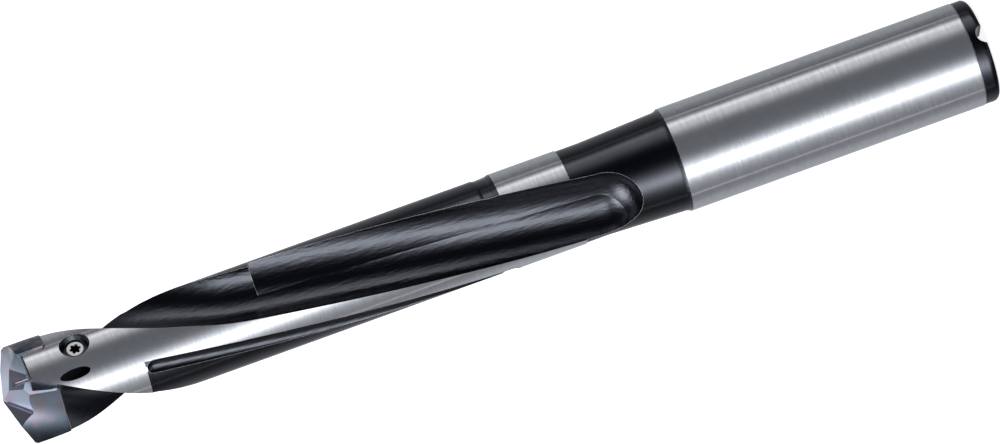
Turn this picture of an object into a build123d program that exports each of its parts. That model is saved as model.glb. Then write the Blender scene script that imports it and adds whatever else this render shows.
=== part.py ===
from build123d import *
from math import acos, cos, degrees, hypot, radians, sin, tan
import os

# Replaceable tip drill: a one-piece steel body with two flutes and a round shank, a carbide tip
# held in a cross slot at its front, and one radial clamp screw.
# Millimetres. The origin is the centre of the rear face and +Z runs along the axis to the point.
# A setback is a distance back from the point, and height() turns it into a place on the Z axis.
# Angles are in degrees about the axis, from +X towards +Y.

# Main sizes
cutting_diameter = 15.0
overall_length = 154.0
shank_diameter = 16.0
shank_length = 48.8
point_angle = 140.0

# Turned shape of the body, from the lands back to the rear face
land_diameter = 14.6
neck_diameter = 14.3
neck_end_diameter = 15.3
full_land_length = 10.4
neck_length = 3.7
cone_length = 11.6
shank_fillet_length = 1.1
shank_fillet_radius = 1.9
rear_band_diameter = 15.8
rear_band_length = 2.4
rear_band_chamfer = 0.1
rear_edge_radius = 1.0
arm_edge_chamfer = 0.25

# Flutes: three helix angles along the length, from the point to the shank
flute_count = 2
helix_front = 30.0
helix_middle = 22.0
helix_rear = 8.5
middle_helix_setback = 20.3
rear_helix_setback = 34.6
helix_blend_length = 3.0
flute_angle_at_point = 75.0
flute_half_width_front = 46.5
flute_half_width_rear = 38.0
web_diameter = 5.6
flute_end_setback = 97.0

# Channel that widens the rear stretch of each flute on its heel side
channel_start_setback = 40.3
channel_end_setback = 98.4
channel_offset_angle = 8.2
channel_radius = 5.94
channel_web_diameter = 5.88

# Relieved part of each land: a margin stays at the leading edge, with a groove behind it
relief_start_setback = 20.7
relief_ramp = 1.0
relief_depth = 0.125
relief_dip_depth = 0.15
relief_dip_length = 1.8
relief_dip_slope_share = 0.7
margin_angle = 21.5
groove_radius = 1.5
groove_depth = 0.6
groove_start_setback = 21.0
groove_overlap_angle = 0.6

# Seat of the tip: a cross slot between two arms
arm_setback = 4.2
seat_setback = 8.1
seat_width = 7.36
seat_angle = -10.6
seat_clearance = 0.02
seat_corner_relief = 0.58
seat_corner_step = 0.28
seat_corner_bite = 0.03

# Tip
flank_relief_angle = 17.0
corner_chamfer = 0.3
tip_flute_helix = 22.0
tip_flute_lag = 2.0
tip_corner_radius = 0.45
heel_bar_radius = 0.36
gash_root_radius = 0.4

# Places on one half of the tip: along its lip, behind the lip and, where off the flank, the setback
heel_inner_place = (1.34, 2.25)
heel_corner_place = (4.16, 2.28)
heel_outer_place = (5.94, 4.45)
heel_floor_place = (2.53, 4.2)
gash_top_place = (0.12, 0.1, 0.0)
gash_lip_place = (-3.3, 1.05)
gash_heel_place = (1.41, 2.6, 1.3)
gash_end_place = (-2.82, 1.23, 3.4)
gash_root_place = (-0.26, 0.25, 0.44)
heel_bar_top_place = (1.78, 2.5, 1.9)
heel_bar_end_place = (1.8, 4.4, 4.4)

# Tang of the tip
tang_diameter = 4.2
tang_length = 8.4
tang_clearance = 0.05

# Clamp screw, radial through one land on to a flat milled on the tang
screw_setback = 12.1
screw_angle = -53.5
screw_diameter = 3.0
screw_clearance = 0.04
screw_sink = 1.1
screw_top_chamfer = 0.25
screw_point_diameter = 1.8
screw_point_length = 0.7
screw_mouth_diameter = 4.6
screw_mouth_depth = 0.9
tang_flat_depth = 0.5
tang_flat_length = 3.6
drive_width = 1.75
drive_lobe_diameter = 0.5
drive_lobes = 6
drive_depth = 1.2

# Coolant ways
coolant_shank_diameter = 5.0
coolant_shank_length = 40.0
coolant_web_diameter = 2.2
coolant_branch_diameter = 1.6
coolant_junction_setback = 30.8
coolant_exit_setback = 10.7
coolant_exit_angle = -88.3

# Round-bottomed groove across the rear face
rear_groove_radius = 1.4
rear_groove_depth = 1.3
rear_groove_angle = 16.0

# Spacing of the sections that the flutes and the relief are lofted through
flute_step = 4.0
channel_step = 6.0
groove_step = 5.0
relief_step = 11.0

# Worked out from the sizes above
cutting_radius = cutting_diameter / 2
land_radius = land_diameter / 2
web_radius = web_diameter / 2
shank_front_setback = overall_length - shank_length
cone_end_setback = shank_front_setback - shank_fillet_length
cone_front_setback = cone_end_setback - cone_length
land_end_setback = cone_front_setback - neck_length
relief_end_setback = land_end_setback - full_land_length
turn = 360 / flute_count
clear = 1.0
hair = 0.01


def height(setback):
    return overall_length - setback


def on_circle(radius, angle):
    return (radius * cos(radians(angle)), radius * sin(radians(angle)))


def turn_rate(helix):
    """Degrees of turn for each millimetre of length, for a helix angle at the cutting diameter."""
    return degrees(tan(radians(helix)) / cutting_radius)


def smooth_ramp(distance):
    """Zero before the start and equal to the distance after it, with a soft bend between."""
    return (distance + hypot(distance, helix_blend_length)) / 2


def flute_angle(setback):
    """Direction of the middle of the first flute."""
    front_rate = turn_rate(helix_front)
    middle_rate = turn_rate(helix_middle)
    slower = (front_rate - middle_rate) * smooth_ramp(setback - middle_helix_setback)
    slowest = (middle_rate - turn_rate(helix_rear)) * smooth_ramp(setback - rear_helix_setback)
    return flute_angle_at_point - front_rate * setback + slower + slowest


def flute_circle(setback):
    """Centre's distance from the axis, and radius, of the circle that the flute has across the axis."""
    narrowing = smooth_ramp(setback - middle_helix_setback) - smooth_ramp(setback - rear_helix_setback)
    share = narrowing / (rear_helix_setback - middle_helix_setback)
    half = flute_half_width_front + (flute_half_width_rear - flute_half_width_front) * share
    centre = (land_radius**2 - web_radius**2) / (2 * (land_radius * cos(radians(half)) - web_radius))
    return centre, centre - web_radius


def margin_rear_angle(setback):
    """Rear edge of the first land's margin, which keeps the rear helix along the whole land."""
    rear_edge = flute_angle(relief_end_setback) + turn_rate(helix_rear) * (relief_end_setback - setback)
    return rear_edge - flute_half_width_rear - margin_angle


def stations(first, last, step):
    count = max(2, round((last - first) / step))
    return [first + (last - first) * index / count for index in range(count + 1)]


# Main flute: circles along a helix whose lead grows towards the shank, ended by a ball
flute_end_circle = flute_circle(flute_end_setback)
flute_ball_setback = flute_end_setback - flute_end_circle[1]

with BuildPart() as flute_cutter:
    for setback in stations(arm_setback - 2 * clear, flute_ball_setback, flute_step):
        centre, radius = flute_circle(setback)
        with BuildSketch(Plane.XY.offset(height(setback))):
            with Locations(on_circle(centre, flute_angle(setback))):
                Circle(radius)
    loft()

with BuildPart() as flute_ball_cutter:
    ball_place = on_circle(flute_end_circle[0], flute_angle(flute_ball_setback))
    with Locations((*ball_place, height(flute_ball_setback))):
        Sphere(flute_end_circle[1] - hair)

# Channel: the same on a wider circle, with a flat wall at its front
channel_ball_setback = channel_end_setback - channel_radius
channel_centre = channel_web_diameter / 2 + channel_radius

with BuildPart() as channel_cutter:
    for setback in stations(channel_start_setback, channel_ball_setback, channel_step):
        angle = flute_angle(setback) + channel_offset_angle
        with BuildSketch(Plane.XY.offset(height(setback))):
            with Locations(on_circle(channel_centre, angle)):
                Circle(channel_radius)
    loft()

with BuildPart() as channel_ball_cutter:
    ball_place = on_circle(channel_centre, flute_angle(channel_ball_setback) + channel_offset_angle)
    with Locations((*ball_place, height(channel_ball_setback))):
        Sphere(channel_radius - hair)


def sector(angle_a, angle_b):
    """Four-sided piece across the land between two directions, from inside its surface to outside."""
    inner = land_radius - 2 * clear
    outer = land_radius + 3 * clear
    corners = [(inner, angle_a), (outer, angle_a), (outer, angle_b), (inner, angle_b)]
    Polygon(*[on_circle(radius, angle) for radius, angle in corners], align=None)


# Relief: a shallow turned ring that leaves the margins standing, with a dip at its rear end
relief_stations = stations(relief_start_setback - 3 * clear, relief_end_setback + 3 * clear, relief_step)
relief_radius = land_radius - relief_depth
relief_dip_radius = relief_radius - relief_dip_depth
dip_end_setback = relief_end_setback - relief_ramp

with BuildPart() as relief_cutter:
    with BuildSketch(Plane.XZ):
        Polygon(
            (land_radius + clear, height(relief_start_setback - relief_ramp)),
            (land_radius + hair, height(relief_start_setback)),
            (relief_radius, height(relief_start_setback + relief_ramp)),
            (relief_radius, height(dip_end_setback - relief_dip_length)),
            (relief_dip_radius, height(dip_end_setback - relief_dip_length * relief_dip_slope_share)),
            (relief_dip_radius, height(dip_end_setback)),
            (land_radius + hair, height(relief_end_setback)),
            (land_radius + clear, height(relief_end_setback + relief_ramp)),
            align=None,
        )
    revolve()
    for flute in range(flute_count):
        for setback in relief_stations:
            rear = margin_rear_angle(setback) + turn * flute
            with BuildSketch(Plane.XY.offset(height(setback))):
                sector(rear, rear + flute_half_width_front)
        loft(mode=Mode.SUBTRACT)

# Groove: a round bottom that takes off the rear edge of each margin, ended by a ball at both ends
groove_centre = land_radius - groove_depth + groove_radius
groove_reach = (groove_centre**2 + land_radius**2 - groove_radius**2) / (2 * groove_centre * land_radius)
groove_half_angle = degrees(acos(groove_reach))
groove_half_width = land_radius * sin(radians(groove_half_angle))
groove_balls = [groove_start_setback + groove_half_width, relief_end_setback - groove_half_width]
groove_lag = groove_half_angle - groove_overlap_angle

with BuildPart() as groove_cutter:
    for setback in stations(*groove_balls, groove_step):
        angle = margin_rear_angle(setback) - groove_lag
        with BuildSketch(Plane.XY.offset(height(setback))):
            with Locations(on_circle(groove_centre, angle)):
                Circle(groove_radius)
    loft()

with BuildPart() as groove_ball_cutter:
    for setback in groove_balls:
        place = on_circle(groove_centre, margin_rear_angle(setback) - groove_lag)
        with Locations((*place, height(setback))):
            Sphere(groove_radius - hair)

land_cutters = (
    flute_cutter,
    flute_ball_cutter,
    channel_cutter,
    channel_ball_cutter,
    groove_cutter,
    groove_ball_cutter,
)

# Planes and places that the body shares with the tip and the screw
seat_plane = Plane.XY.offset(height(seat_setback)).rotated((0, 0, seat_angle))
screw_way = Vector(*on_circle(1, screw_angle), 0)
screw_plane = Plane(origin=(0, 0, height(screw_setback)), x_dir=(0, 0, 1), z_dir=screw_way)
tang_flat_radius = tang_diameter / 2 - tang_flat_depth
junction = Vector(0, 0, height(coolant_junction_setback))
coolant_exit = Vector(*on_circle(land_radius, coolant_exit_angle), height(coolant_exit_setback))

with BuildPart() as body:
    with BuildSketch(Plane.XZ):
        with BuildLine():
            cone_end = (neck_end_diameter / 2, height(cone_end_setback))
            shank_front = (shank_diameter / 2, height(shank_front_setback))
            Polyline(
                shank_front,
                (shank_diameter / 2, rear_band_length + rear_band_chamfer),
                (rear_band_diameter / 2, rear_band_length),
                (rear_band_diameter / 2, 0),
                (0, 0),
                (0, height(arm_setback)),
                (land_radius - arm_edge_chamfer, height(arm_setback)),
                (land_radius, height(arm_setback + arm_edge_chamfer)),
                (land_radius, height(land_end_setback)),
                (neck_diameter / 2, height(land_end_setback)),
                (neck_diameter / 2, height(cone_front_setback)),
                cone_end,
            )
            RadiusArc(cone_end, shank_front, -shank_fillet_radius)
        make_face()
    revolve()
    fillet(body.edges().group_by(Axis.Z)[0], rear_edge_radius)

    # Round-bottomed groove across the rear face
    with BuildSketch(Plane.XZ.rotated((0, 0, rear_groove_angle))):
        with Locations((0, rear_groove_depth - rear_groove_radius)):
            Circle(rear_groove_radius)
    extrude(amount=shank_diameter, both=True, mode=Mode.SUBTRACT)

    # Relieved lands, flutes, channels and grooves
    add(relief_cutter.part, mode=Mode.SUBTRACT)
    for cutter in land_cutters:
        for flute in range(flute_count):
            add(cutter.part, rotation=(0, 0, turn * flute), mode=Mode.SUBTRACT)

    # Cross slot for the tip, with a round relief along each bottom corner, and a socket for the tang
    slot_half = seat_width / 2 + seat_clearance
    with BuildSketch(seat_plane):
        Rectangle(cutting_diameter + clear, 2 * slot_half)
    extrude(amount=seat_setback, mode=Mode.SUBTRACT)
    with BuildSketch(Plane.YZ.rotated((0, 0, seat_angle))):
        corner_height = height(seat_setback) + seat_corner_relief - seat_corner_bite
        corner_side = slot_half + seat_corner_step - seat_corner_relief
        with Locations((-corner_side, corner_height), (corner_side, corner_height)):
            Circle(seat_corner_relief)
    extrude(amount=cutting_diameter, both=True, mode=Mode.SUBTRACT)
    with BuildSketch(seat_plane):
        Circle(tang_diameter / 2 + tang_clearance)
    extrude(amount=-(tang_length + 2 * tang_clearance), mode=Mode.SUBTRACT)

    # Screw hole and its conical mouth
    with BuildSketch(screw_plane):
        Circle(screw_diameter / 2 + screw_clearance)
    extrude(amount=land_radius + clear, mode=Mode.SUBTRACT)
    with BuildSketch(screw_plane.offset(land_radius - screw_mouth_depth)):
        Circle(screw_diameter / 2 + screw_clearance)
    with BuildSketch(screw_plane.offset(land_radius)):
        Circle(screw_mouth_diameter / 2)
    loft(mode=Mode.SUBTRACT)

    # Coolant: a bore from the rear, a finer bore in the web, and a slanting branch to each land
    with BuildSketch(Plane.XY):
        Circle(coolant_shank_diameter / 2)
    extrude(amount=coolant_shank_length, mode=Mode.SUBTRACT)
    with BuildSketch(Plane.XY):
        Circle(coolant_web_diameter / 2)
    extrude(amount=height(coolant_junction_setback), mode=Mode.SUBTRACT)
    for flute in range(flute_count):
        branch = (coolant_exit - junction).rotate(Axis.Z, turn * flute)
        with BuildSketch(Plane(origin=junction, z_dir=branch)):
            Circle(coolant_branch_diameter / 2)
        extrude(amount=branch.length + 3 * clear, mode=Mode.SUBTRACT)

body.part.label = "drill_body"


def tip_spot(along_lip, behind_lip, setback):
    """A place on the first half of the tip, whose lip runs along +X with its heel towards -Y."""
    return Vector(along_lip, -behind_lip, height(setback))


point_slope = tan(radians(90 - point_angle / 2))
flank_slope = tan(radians(flank_relief_angle))


def flank_setback(along_lip, behind_lip):
    return point_slope * along_lip + flank_slope * behind_lip


def flank_spot(place):
    return tip_spot(*place, flank_setback(*place))


# Heel wedge: the clearance behind the flank, and the wall that closes it outwards
heel_inner = flank_spot(heel_inner_place)
heel_corner = flank_spot(heel_corner_place)
heel_outer = flank_spot(heel_outer_place)
heel_floor = tip_spot(*heel_floor_place, arm_setback)

# Thinning gash, which carries the other half's lip in towards the centre
lip_x, lip_y = gash_lip_place
gash_top = tip_spot(*gash_top_place)
gash_lip = tip_spot(lip_x, lip_y, flank_setback(-lip_x, -lip_y))
gash_heel = tip_spot(*gash_heel_place)
gash_end = tip_spot(*gash_end_place)


def wedge(apex, wall_a, wall_b, floor, reach, length, lead_in):
    """Three-sided cutter: its two walls leave the apex towards two places and follow the floor line."""
    way = (floor - apex).normalized()
    start = apex - way * lead_in
    section = Plane(origin=start, x_dir=wall_a - apex, z_dir=(wall_a - apex).cross(wall_b - apex))
    arm_b = section.to_local_coords(start + wall_b - apex).normalized() * reach
    with BuildPart() as cutter:
        with BuildSketch(section):
            Polygon((0, 0), (reach, 0), (arm_b.X, arm_b.Y), align=None)
        extrude(amount=length + lead_in, dir=way)
    return cutter.part


def rod(start, end, radius):
    """Round cutter along a line."""
    with BuildPart() as cutter:
        with BuildSketch(Plane(origin=start, z_dir=end - start)):
            Circle(radius)
        extrude(amount=(end - start).length)
    return cutter.part


tip_reach = cutting_radius - clear
gash_reach = 1.5 * cutting_radius
heel_wedge = wedge(heel_corner, heel_inner, heel_outer, heel_floor, tip_reach, tip_reach, clear)
gash_length = (gash_end - gash_top).length
gash_wedge = wedge(gash_top, gash_lip, gash_heel, gash_end, gash_reach, gash_length, 3 * clear)
gash_root = rod(tip_spot(*gash_root_place), gash_end, gash_root_radius)
heel_bar = rod(tip_spot(*heel_bar_end_place), tip_spot(*heel_bar_top_place), heel_bar_radius)

with BuildPart() as tip_flute_cutter:
    for setback in stations(-2 * clear, seat_setback + clear, flute_step / 2):
        centre, radius = flute_circle(setback)
        twist = turn_rate(tip_flute_helix) * (seat_setback - setback)
        angle = flute_angle(seat_setback) - tip_flute_lag + twist
        with BuildSketch(Plane.XY.offset(height(setback))):
            with Locations(on_circle(centre, angle)):
                Circle(radius)
    loft()

with BuildPart() as tip:
    corner_setback = cutting_radius * point_slope
    with BuildSketch(Plane.XZ):
        Polygon(
            (0, height(seat_setback)),
            (cutting_radius, height(seat_setback)),
            (cutting_radius, height(corner_setback)),
            (cutting_radius - corner_chamfer, height(corner_setback - 2 * corner_chamfer)),
            (cutting_radius - corner_chamfer, height(-clear)),
            (0, height(-clear)),
            align=None,
        )
    revolve()
    with BuildSketch(seat_plane):
        Rectangle(cutting_diameter + clear, seat_width)
    extrude(amount=seat_setback + 2 * clear, mode=Mode.INTERSECT)
    fillet(tip.edges().filter_by(GeomType.LINE).group_by(Axis.Z)[0], tip_corner_radius)

    # Tang under the seat face, with the flat that the screw bears on
    with BuildSketch(seat_plane):
        Circle(tang_diameter / 2)
    extrude(amount=-tang_length)
    with BuildSketch(screw_plane.offset(tang_flat_radius)):
        Rectangle(tang_flat_length, tang_diameter)
    extrude(amount=tang_diameter, mode=Mode.SUBTRACT)

    for flute in range(flute_count):
        # Flank: a plane through the point that falls outwards and towards the heel
        fall = Vector(point_slope, -flank_slope, 1).rotate(Axis.Z, turn * flute)
        with BuildSketch(Plane(origin=(0, 0, overall_length), z_dir=fall)):
            Rectangle(2 * cutting_diameter, 2 * cutting_diameter)
        extrude(amount=cutting_radius, mode=Mode.SUBTRACT)
    for cutter in (tip_flute_cutter.part, gash_wedge, heel_wedge, gash_root, heel_bar):
        for flute in range(flute_count):
            add(cutter, rotation=(0, 0, turn * flute), mode=Mode.SUBTRACT)

tip.part.label = "drill_tip"

with BuildPart() as screw:
    top_radius = land_radius - screw_sink
    point_end = tang_flat_radius + screw_point_length
    lengthwise = Plane(
        origin=screw_plane.origin, x_dir=screw_plane.x_dir, z_dir=screw_plane.x_dir.cross(screw_way)
    )
    with BuildSketch(lengthwise):
        Polygon(
            (0, tang_flat_radius),
            (screw_point_diameter / 2, tang_flat_radius),
            (screw_diameter / 2, point_end),
            (screw_diameter / 2, top_radius - screw_top_chamfer),
            (screw_diameter / 2 - screw_top_chamfer, top_radius),
            (0, top_radius),
            align=None,
        )
    revolve(axis=Axis(screw_plane.origin, screw_way))
    # Six-lobe drive recess
    with BuildSketch(screw_plane.offset(top_radius - drive_depth)):
        Circle(drive_width / 2 - drive_lobe_diameter / 2)
        with PolarLocations(drive_width / 2 - drive_lobe_diameter / 2, drive_lobes):
            Circle(drive_lobe_diameter / 2)
    extrude(amount=drive_depth + clear, mode=Mode.SUBTRACT)

screw.part.label = "clamp_screw"

os.makedirs("parts", exist_ok=True)
for piece in (body, tip, screw):
    export_step(piece.part, f"parts/{piece.part.label}.step")
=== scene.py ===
import math

import bpy
import numpy as np
from mathutils import Matrix, Vector


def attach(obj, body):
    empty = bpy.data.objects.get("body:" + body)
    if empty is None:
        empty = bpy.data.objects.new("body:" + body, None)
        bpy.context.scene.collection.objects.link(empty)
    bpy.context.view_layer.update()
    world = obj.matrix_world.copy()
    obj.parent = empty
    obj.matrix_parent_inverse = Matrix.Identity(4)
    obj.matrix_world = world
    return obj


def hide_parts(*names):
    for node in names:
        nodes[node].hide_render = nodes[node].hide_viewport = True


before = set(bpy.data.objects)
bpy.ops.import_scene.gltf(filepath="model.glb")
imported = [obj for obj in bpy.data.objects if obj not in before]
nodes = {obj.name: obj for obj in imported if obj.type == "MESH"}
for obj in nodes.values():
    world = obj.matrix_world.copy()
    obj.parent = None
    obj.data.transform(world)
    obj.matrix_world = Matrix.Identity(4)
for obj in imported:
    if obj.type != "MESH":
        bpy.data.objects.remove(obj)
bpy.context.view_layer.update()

# Sizes of the drill in millimetres and degrees. A setback is a distance back from the point.
OVERALL = 154.0
CUTTING_RADIUS = 7.5
LAND_RADIUS = 7.3
WEB_RADIUS = 2.8
RELIEF_DEPTH = 0.125
LANDS_END = 90.0
SHANK_FRONT = 105.2
REAR_BAND = 151.6
HELIX_FRONT = 30.0
HELIX_MIDDLE = 22.0
HELIX_REAR = 8.5
MIDDLE_HELIX_SETBACK = 20.3
REAR_HELIX_SETBACK = 34.6
HELIX_BLEND = 3.0
FLUTE_ANGLE = 75.0
HALF_WIDTH_FRONT = 46.5
HALF_WIDTH_REAR = 38.0
FLUTE_END = 97.0
CHANNEL_END = 98.4
CHANNEL_OFFSET = 8.2
CHANNEL_RADIUS = 5.94
CHANNEL_WEB_RADIUS = 2.94
RELIEF_END = 78.5
MARGIN_ANGLE = 21.5
GROOVE_RADIUS = 1.5
GROOVE_DEPTH = 0.6
GROOVE_START = 21.0
GROOVE_OVERLAP = 0.6
TIP_HELIX = 22.0
TIP_LAG = 2.0
SEAT_SETBACK = 8.1
BALL_INSET = 0.01
COOLANT_JUNCTION = 30.8
COOLANT_EXIT = 10.7
COOLANT_EXIT_ANGLE = -88.3
COOLANT_RADIUS = 0.8
SCREW_ANGLE = -53.5
SCREW_TOP = 6.2
HALVES = (0, 1)
MM = 0.001
NOISE_RANGE = (0.3, 0.7)

# Kinds of surface, and the limits in millimetres and cosines that tell them apart
FLAT, TURNED, SWEPT = 0, 1, 2
EMPTY_SIZE = 1e-9
SLIVER_SIZE = 0.02
TURNED_FACING = 0.93
TURNED_SPREAD = 0.6
TURNED_LEAST_RADIUS = 6.5
WALL_MISS = 0.045
WALL_FACING = 0.86
BORE_MISS = 0.03
EDGE_SLACK = 0.01
LAND_SLACK = 0.3 * RELIEF_DEPTH


def turn_rate(helix):
    """Degrees of turn for each millimetre of length."""
    return math.degrees(math.tan(math.radians(helix)) / CUTTING_RADIUS)


def smooth_ramp(distance):
    return (distance + np.hypot(distance, HELIX_BLEND)) / 2


def flute_angle(setback):
    middle = smooth_ramp(setback - MIDDLE_HELIX_SETBACK)
    rear = smooth_ramp(setback - REAR_HELIX_SETBACK)
    slower = (turn_rate(HELIX_FRONT) - turn_rate(HELIX_MIDDLE)) * middle
    slowest = (turn_rate(HELIX_MIDDLE) - turn_rate(HELIX_REAR)) * rear
    return FLUTE_ANGLE - turn_rate(HELIX_FRONT) * setback + slower + slowest


def flute_centre(setback):
    middle = smooth_ramp(setback - MIDDLE_HELIX_SETBACK)
    rear = smooth_ramp(setback - REAR_HELIX_SETBACK)
    share = (middle - rear) / (REAR_HELIX_SETBACK - MIDDLE_HELIX_SETBACK)
    half = HALF_WIDTH_FRONT + (HALF_WIDTH_REAR - HALF_WIDTH_FRONT) * share
    reach = LAND_RADIUS * np.cos(np.radians(half)) - WEB_RADIUS
    return (LAND_RADIUS**2 - WEB_RADIUS**2) / (2 * reach)


def tip_flute_angle(setback):
    return flute_angle(SEAT_SETBACK) - TIP_LAG + turn_rate(TIP_HELIX) * (SEAT_SETBACK - setback)


GROOVE_CENTRE = LAND_RADIUS - GROOVE_DEPTH + GROOVE_RADIUS
GROOVE_REACH = (GROOVE_CENTRE**2 + LAND_RADIUS**2 - GROOVE_RADIUS**2) / (2 * GROOVE_CENTRE * LAND_RADIUS)
GROOVE_HALF_WIDTH = LAND_RADIUS * math.sqrt(1 - GROOVE_REACH**2)


def groove_angle(setback):
    rear_edge = flute_angle(RELIEF_END) + turn_rate(HELIX_REAR) * (RELIEF_END - setback)
    lag = math.degrees(math.acos(GROOVE_REACH)) - GROOVE_OVERLAP
    return rear_edge - HALF_WIDTH_REAR - MARGIN_ANGLE - lag


# Surfaces swept by a circle: its centre's distance from the axis, direction and radius by setback
def flute_sweep(setback):
    centre = flute_centre(setback)
    return centre, flute_angle(setback), centre - WEB_RADIUS


def channel_sweep(setback):
    centre = CHANNEL_WEB_RADIUS + CHANNEL_RADIUS
    return centre, flute_angle(setback) + CHANNEL_OFFSET, CHANNEL_RADIUS


def groove_sweep(setback):
    return GROOVE_CENTRE, groove_angle(setback), GROOVE_RADIUS


def tip_sweep(setback):
    centre = flute_centre(setback)
    return centre, tip_flute_angle(setback), centre - WEB_RADIUS


def swept_wall(sweep, half):
    """How far points are inside the wall that a circle sweeps; negative where they are outside."""
    def inside(points):
        centre, angle, radius = sweep(OVERALL - points[:, 2])
        angle = np.radians(angle + 180 * half)
        away = np.hypot(points[:, 0] - centre * np.cos(angle), points[:, 1] - centre * np.sin(angle))
        return radius - away
    return inside


def ball_wall(sweep, half, setback):
    """The same for the ball at the end of a sweep."""
    centre, angle, radius = sweep(setback)
    angle = math.radians(angle + 180 * half)
    middle = np.array((centre * math.cos(angle), centre * math.sin(angle), OVERALL - setback))

    def inside(points):
        return radius - BALL_INSET - np.linalg.norm(points - middle, axis=1)
    return inside


def wall_normals(points, wall):
    """Direction out of the metal at each point of a wall."""
    step = 0.001
    field = np.empty(points.shape)
    for axis in range(3):
        shift = np.zeros(3)
        shift[axis] = step
        field[:, axis] = wall(points + shift) - wall(points - shift)
    return field / np.linalg.norm(field, axis=1)[:, None]


def triangles(mesh):
    """Each triangle's corners in millimetres, its direction and twice its area."""
    mesh.calc_loop_triangles()
    corners = np.empty(len(mesh.loop_triangles) * 3, int)
    mesh.loop_triangles.foreach_get("vertices", corners)
    spots = np.empty(len(mesh.vertices) * 3)
    mesh.vertices.foreach_get("co", spots)
    points = (spots.reshape(-1, 3) / MM)[corners].reshape(-1, 3, 3)
    flat = np.cross(points[:, 1] - points[:, 0], points[:, 2] - points[:, 0])
    size = np.linalg.norm(flat, axis=1)
    kept = size > EMPTY_SIZE
    return points[kept], flat[kept] / size[kept][:, None], size[kept]


def turned_normals(points, flat):
    """Which triangles lie on a turned surface, and the normals there, which point away from the axis."""
    radii = np.hypot(points[:, :, 0], points[:, :, 1])
    around = points.copy()
    around[:, :, 2] = 0
    around /= np.maximum(np.linalg.norm(around, axis=2), EMPTY_SIZE)[:, :, None]
    facing = np.einsum("ij,ikj->ik", flat, around).min(1)
    round_enough = (facing > TURNED_FACING) & (radii.max(1) - radii.min(1) < TURNED_SPREAD)
    slope = flat[:, 2]
    normals = around * np.sqrt(1 - slope**2)[:, None, None]
    normals[:, :, 2] = slope[:, None]
    return round_enough & (radii.min(1) > TURNED_LEAST_RADIUS), normals


def true_normals(points, flat, size, walls):
    """Normals of the surfaces that the triangles stand for, and each triangle's kind."""
    turned, away = turned_normals(points, flat)
    normals = np.where(turned[:, None, None], away, flat[:, None, :])
    kind = np.where(turned, TURNED, FLAT)
    every = points.reshape(-1, 3)
    closest = np.full(len(points), WALL_MISS)
    for wall in walls:
        miss = np.abs(wall(every)).reshape(-1, 3).max(1)
        true = wall_normals(every, wall).reshape(-1, 3, 3)
        facing = np.einsum("ij,ikj->ik", flat, true).min(1)
        fits = (miss < closest) & ((facing > WALL_FACING) | (size < SLIVER_SIZE))
        normals[fits] = true[fits]
        closest[fits] = miss[fits]
        kind[fits] = SWEPT
    return normals, kind


def skin(node, walls):
    """Copy of a CAD node with true normals on its round surfaces. Returns it, its corners and kinds."""
    points, flat, size = triangles(nodes[node].data)
    normals, kind = true_normals(points, flat, size, walls)

    # One vertex for each place and direction
    keys = np.round(np.concatenate([points.reshape(-1, 3), normals.reshape(-1, 3)], axis=1), 4)
    unique, back = np.unique(keys, axis=0, return_inverse=True)
    back = back.reshape(-1, 3)
    sound = (back[:, 0] != back[:, 1]) & (back[:, 1] != back[:, 2]) & (back[:, 0] != back[:, 2])
    name = f"{node}_skin"
    mesh = bpy.data.meshes.new(name)
    mesh.from_pydata((unique[:, :3] * MM).tolist(), [], back[sound].tolist())
    mesh.polygons.foreach_set("use_smooth", [True] * len(mesh.polygons))
    mesh.normals_split_custom_set(normals[sound].reshape(-1, 3).tolist())
    piece = bpy.data.objects.new(name, mesh)
    bpy.context.scene.collection.objects.link(piece)
    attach(piece, "root")
    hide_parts(node)
    return piece, points[sound], kind[sound]


class Graph:
    """Short ways to add nodes to a node tree."""

    def __init__(self, tree):
        self.nodes = tree.nodes
        self.links = tree.links

    def node(self, kind, **values):
        made = self.nodes.new(kind)
        for key, value in values.items():
            setattr(made, key, value)
        return made

    def connect(self, source, target):
        if isinstance(source, (int, float)):
            target.default_value = source
        elif isinstance(source, tuple):
            target.default_value = (*source, 1.0) if len(target.default_value) == 4 else source
        else:
            self.links.new(source, target)

    def math(self, operation, a, b=0.0):
        node = self.node("ShaderNodeMath", operation=operation)
        self.connect(a, node.inputs[0])
        self.connect(b, node.inputs[1])
        return node.outputs[0]

    def vector(self, operation, *sources):
        node = self.node("ShaderNodeVectorMath", operation=operation)
        for source, socket in zip(sources, node.inputs):
            self.connect(source, socket)
        return node.outputs["Value" if operation in ("DOT_PRODUCT", "LENGTH") else "Vector"]

    def ramp(self, source, low, high, start, end):
        node = self.node("ShaderNodeMapRange")
        for socket, value in zip(node.inputs, (source, low, high, start, end)):
            self.connect(value, socket)
        return node.outputs["Result"]

    def mix(self, share, a, b):
        node = self.node("ShaderNodeMix", data_type="RGBA")
        self.connect(share, node.inputs["Factor"])
        self.connect(a, node.inputs["A"])
        self.connect(b, node.inputs["B"])
        return node.outputs["Result"]


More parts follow.
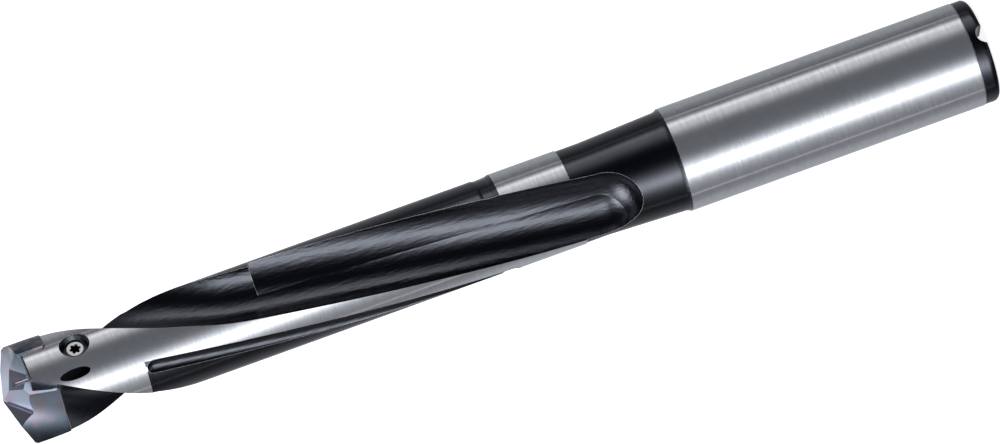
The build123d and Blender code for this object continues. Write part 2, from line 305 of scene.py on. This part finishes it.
class Shader(Graph):
    """A material of its own, with patterns laid out by place on the object."""

    def __init__(self, name):
        self.material = bpy.data.materials.new(name)
        self.material.use_nodes = True
        super().__init__(self.material.node_tree)
        self.surface = self.nodes["Principled BSDF"]
        self.place = self.node("ShaderNodeTexCoord").outputs["Object"]

    def stretched(self, scale):
        return self.vector("MULTIPLY", self.place, scale)

    def noise(self, scale, detail):
        """Noise with one scale for all directions, or one for each."""
        each_way = isinstance(scale, tuple)
        node = self.node("ShaderNodeTexNoise")
        self.connect(1.0 if each_way else scale, node.inputs["Scale"])
        self.connect(detail, node.inputs["Detail"])
        self.connect(self.stretched(scale) if each_way else self.place, node.inputs["Vector"])
        return node.outputs["Fac"]

    def bump(self, source, distance):
        node = self.node("ShaderNodeBump")
        self.connect(distance, node.inputs["Distance"])
        self.connect(source, node.inputs["Height"])
        return node.outputs["Normal"]

    def edges(self, radius):
        """0 on open surfaces and up to 1 at edges, where the bevelled normal leaves the true one."""
        bevel = self.node("ShaderNodeBevel", samples=4)
        self.connect(radius, bevel.inputs["Radius"])
        normal = self.node("ShaderNodeNewGeometry").outputs["Normal"]
        agreement = self.vector("DOT_PRODUCT", bevel.outputs["Normal"], normal)
        open_cosine, sharp_cosine = 0.985, 0.85
        return self.ramp(agreement, open_cosine, sharp_cosine, 0.0, 1.0)

    def finish(self, colour, metallic, roughness, normal=None):
        self.connect(colour, self.surface.inputs["Base Color"])
        self.connect(metallic, self.surface.inputs["Metallic"])
        self.connect(roughness, self.surface.inputs["Roughness"])
        if normal is not None:
            self.connect(normal, self.surface.inputs["Normal"])
        return self.material


def ground_steel():
    """Silver steel with fine grinding lines round the axis."""
    dull, bright = (0.64, 0.66, 0.72), (0.96, 0.98, 1.0)
    shader = Shader("ground_steel")
    lines = shader.noise((400, 400, 5000), detail=4.0)
    cloud = shader.noise(160.0, detail=3.0)
    rough = shader.ramp(cloud, *NOISE_RANGE, 0.11, 0.18)
    ground = shader.bump(lines, distance=0.0012 * MM)
    return shader.finish(shader.mix(lines, dull, bright), metallic=0.75, roughness=rough, normal=ground)


def black_steel(name, grain, depth, tone):
    """Satin black steel with a grain of some depth, brighter and less metallic along its edges: worn edges
    and a painted edge highlight.
    """
    dark = (tone * 0.8, tone * 0.86, tone)
    light = (tone * 1.05, tone * 1.1, tone * 1.25)
    painted_edge_highlight = (0.95, 0.88, 0.88)
    shader = Shader(name)
    mottle = shader.noise(grain, detail=4.0)
    cloud = shader.noise(300.0, detail=2.0)
    # Bright edges: partly worn black finish, partly a painted highlight along the edge.
    edge_highlight_and_wear = shader.edges(0.13 * MM)
    colour = shader.mix(edge_highlight_and_wear, shader.mix(cloud, dark, light), painted_edge_highlight)
    metallic = shader.ramp(edge_highlight_and_wear, 0.0, 1.0, 1.0, 0.1)
    rough = shader.ramp(mottle, *NOISE_RANGE, 0.15, 0.22)
    return shader.finish(colour, metallic, rough, shader.bump(mottle, depth))


def coated_carbide():
    """Blue-grey coating with small pinkish clouds, painted shade darkening it to teal away from the axis,
    and painted edge highlights.
    """
    light_blue, painted_shade_teal = (0.5, 0.57, 0.7), (0.1, 0.14, 0.18)
    pink, painted_edge_highlight = (0.6, 0.44, 0.5), (0.85, 0.88, 0.95)
    shader = Shader("coated_carbide")
    away = shader.vector("LENGTH", shader.stretched((1 / MM, 1 / MM, 0)))
    # Painted shade: the coating darkens to teal towards the outer radius.
    painted_shade_share = shader.ramp(away, WEB_RADIUS, CUTTING_RADIUS, 0.0, 1.0)
    cloud = shader.ramp(shader.noise(420.0, detail=1.0), 0.48, 0.68, 0.0, 0.55)
    tint_and_painted_shade = shader.mix(cloud, shader.mix(painted_shade_share, light_blue, painted_shade_teal), pink)
    # Painted highlight along the edges of the tip.
    colour = shader.mix(shader.edges(0.08 * MM), tint_and_painted_shade, painted_edge_highlight)
    return shader.finish(colour, metallic=0.8, roughness=0.3)


def screw_steel():
    """Bright turned steel, with painted shade: near-black below the rim of the drive socket."""
    # The near-black colour is painted shade inside the drive socket.
    painted_recess_shade, rim = (0.02, 0.02, 0.025), (0.8, 0.8, 0.82)
    shader = Shader("screw_steel")
    angle = math.radians(SCREW_ANGLE)
    outward = shader.vector("DOT_PRODUCT", shader.place, (math.cos(angle), math.sin(angle), 0.0))
    height = shader.ramp(outward, (SCREW_TOP - 0.5) * MM, (SCREW_TOP - 0.1) * MM, 0.0, 1.0)
    return shader.finish(shader.mix(height, painted_recess_shade, rim), metallic=0.8, roughness=0.3)


def painted_bore_shade():
    """Painted shade: black inside the coolant holes, without any shine."""
    shader = Shader("painted_bore_shade")
    shader.connect(1.0, shader.surface.inputs["IOR"])
    return shader.finish((0.01, 0.01, 0.012), metallic=0.0, roughness=0.8)


def put(piece, *materials):
    piece.data.materials.clear()
    for material in materials:
        piece.data.materials.append(material)


def in_bore(points):
    """Triangles on the wall of the slanting coolant holes."""
    found = np.zeros(len(points), bool)
    start = np.array((0, 0, OVERALL - COOLANT_JUNCTION))
    for half in HALVES:
        angle = math.radians(COOLANT_EXIT_ANGLE + 180 * half)
        mouth = (LAND_RADIUS * math.cos(angle), LAND_RADIUS * math.sin(angle), OVERALL - COOLANT_EXIT)
        way = (mouth - start) / np.linalg.norm(mouth - start)
        away = np.linalg.norm(np.cross(points - start, way), axis=2)
        found |= np.abs(away - COOLANT_RADIUS).max(1) < BORE_MISS
    return found


def is_silver(points, kind):
    """Triangles on the full lands, the margins and the ground shank."""
    setback = OVERALL - points[:, :, 2]
    radius = np.hypot(points[:, :, 0], points[:, :, 1])
    on_land = (radius.min(1) > LAND_RADIUS - LAND_SLACK) & (setback.max(1) < LANDS_END)
    behind_front = setback.min(1) > SHANK_FRONT - EDGE_SLACK
    on_shank = behind_front & (setback.max(1) < REAR_BAND + EDGE_SLACK)
    return (kind == TURNED) & (on_land | on_shank)


def dress_body():
    """Silver where the body is ground, black elsewhere, with a deeper grain in the flutes and painted shade
    in the coolant holes.
    """
    balls = (
        (flute_sweep, FLUTE_END - (flute_centre(FLUTE_END) - WEB_RADIUS)),
        (channel_sweep, CHANNEL_END - CHANNEL_RADIUS),
        (groove_sweep, GROOVE_START + GROOVE_HALF_WIDTH),
        (groove_sweep, RELIEF_END - GROOVE_HALF_WIDTH),
    )
    sweeps = (flute_sweep, channel_sweep, groove_sweep)
    walls = [swept_wall(sweep, half) for sweep in sweeps for half in HALVES]
    walls += [ball_wall(sweep, half, setback) for sweep, setback in balls for half in HALVES]
    body, points, kind = skin("drill_body", walls)
    put(
        body,
        black_steel("black_steel", grain=(900, 900, 4200), depth=0.01 * MM, tone=0.11),
        ground_steel(),
        black_steel("flute_steel", grain=(2200, 2200, 500), depth=0.05 * MM, tone=0.12),
        painted_bore_shade(),
    )
    black, silver, flute, bore = range(4)
    which = np.where(kind == SWEPT, flute, black)
    which[is_silver(points, kind)] = silver
    # Painted shade on the walls of the coolant holes.
    which[in_bore(points)] = bore
    body.data.polygons.foreach_set("material_index", which.astype(np.int32))


def dress_tip_and_screw():
    tip, _, _ = skin("drill_tip", [swept_wall(tip_sweep, half) for half in HALVES])
    put(tip, coated_carbide())
    put(nodes["clamp_screw"], screw_steel())


def world_light():
    """White to the camera. The object sees a dim room, strips of light along the drill and two lamps."""
    dim = (0.02, 0.023, 0.03)
    cool, warm, pink, white = (0.95, 0.97, 1.0), (1.0, 0.98, 0.97), (1.0, 0.85, 0.82), (1.0, 1.0, 1.0)
    strips = (
        # azimuth from the camera side and width in degrees, strength, colour
        (-36, 10, 2.2, cool),
        (-46, 20, 0.4, cool),
        (-92, 1.0, 0.6, pink),
        (-16, 8, 0.22, cool),
        (78, 4.5, 0.75, (1.0, 0.99, 0.97)),
        (66, 10, 0.62, warm),
        (97, 1.2, 0.5, pink),
        (132, 16, 0.22, cool),
        (-132, 16, 0.22, cool),
        (180, 14, 0.7, cool),
    )
    lamps = (
        # direction, width in degrees, strength, colour
        ((0.0, 0.77, 0.64), 26, 0.95, (0.96, 0.97, 1.0)),
        ((-0.53, -0.24, 0.81), 12, 4.0, (0.96, 0.98, 1.0)),
    )
    world = bpy.data.worlds.new("studio")
    bpy.context.scene.world = world
    world.use_nodes = True
    world.node_tree.nodes.clear()
    graph = Graph(world.node_tree)
    way = graph.node("ShaderNodeTexCoord").outputs["Generated"]
    level_way = graph.vector("NORMALIZE", graph.vector("MULTIPLY", way, (1.0, 1.0, 0.0)))
    tilt = graph.node("ShaderNodeSeparateXYZ")
    graph.connect(way, tilt.inputs[0])
    level, steep, steep_share = 0.25, 0.55, 0.2
    reach = graph.ramp(graph.math("ABSOLUTE", tilt.outputs["Z"]), level, steep, 1.0, steep_share)

    def glow(seen_way, direction, width, strength):
        """Light that falls off with the angle from a direction."""
        closeness = graph.math("SUBTRACT", graph.vector("DOT_PRODUCT", seen_way, direction), 1.0)
        fall = graph.math("MULTIPLY", closeness, 1 / math.radians(width) ** 2)
        return graph.math("MULTIPLY", graph.math("POWER", math.e, fall), strength)

    total = dim
    for azimuth, width, strength, colour in strips:
        angle = math.radians(azimuth)
        strip = glow(level_way, (math.sin(angle), -math.cos(angle), 0.0), width, strength)
        total = graph.vector("MULTIPLY_ADD", graph.math("MULTIPLY", strip, reach), colour, total)
    for direction, width, strength, colour in lamps:
        total = graph.vector("MULTIPLY_ADD", glow(way, direction, width, strength), colour, total)

    path = graph.node("ShaderNodeLightPath")
    background = graph.node("ShaderNodeBackground")
    output = graph.node("ShaderNodeOutputWorld")
    graph.connect(graph.mix(path.outputs["Is Camera Ray"], total, white), background.inputs["Color"])
    graph.connect(background.outputs["Background"], output.inputs["Surface"])


def camera():
    """Two metres off, higher than the point, and turned so that the drill lies across the picture."""
    place = Vector((-0.0001, -2.0, 0.31444))
    aim = Vector((0.00008, 0.0, 0.07616))
    roll = Matrix.Rotation(math.radians(-109.813), 4, "Z")
    data = bpy.data.cameras.new("camera")
    data.sensor_width = 36.0
    data.lens = 493.2
    data.clip_end = 20
    eye = bpy.data.objects.new("camera", data)
    bpy.context.scene.collection.objects.link(eye)
    eye.location = place
    facing = (aim - place).to_track_quat("-Z", "Y").to_matrix().to_4x4()
    eye.rotation_euler = (facing @ roll).to_euler()
    bpy.context.scene.camera = eye


def floor():
    """Pale floor under the standing drill, white to the camera apart from the shadow, and not reflected."""
    half = 3.0
    gap = 0.2 * MM
    camera_glow = 0.9
    corners = [(-half, -half, 0), (half, -half, 0), (half, half, 0), (-half, half, 0)]
    mesh = bpy.data.meshes.new("floor")
    mesh.from_pydata(corners, [], [(0, 1, 2, 3)])
    ground = bpy.data.objects.new("floor", mesh)
    ground.location.z = -gap
    bpy.context.scene.collection.objects.link(ground)
    shader = Shader("floor")
    shader.finish((0.85, 0.85, 0.85), metallic=0.0, roughness=0.8)
    path = shader.node("ShaderNodeLightPath")
    glow = shader.math("MULTIPLY", path.outputs["Is Camera Ray"], camera_glow)
    shader.connect((1.0, 1.0, 1.0), shader.surface.inputs["Emission Color"])
    shader.connect(glow, shader.surface.inputs["Emission Strength"])
    clear = shader.node("ShaderNodeBsdfTransparent")
    choice = shader.node("ShaderNodeMixShader")
    shader.connect(path.outputs["Is Glossy Ray"], choice.inputs["Fac"])
    shader.connect(shader.surface.outputs["BSDF"], choice.inputs[1])
    shader.connect(clear.outputs["BSDF"], choice.inputs[2])
    shader.connect(choice.outputs["Shader"], shader.nodes["Material Output"].inputs["Surface"])
    put(ground, shader.material)


dress_body()
dress_tip_and_screw()
world_light()
camera()
floor()
bpy.context.scene.view_settings.view_transform = "Standard"
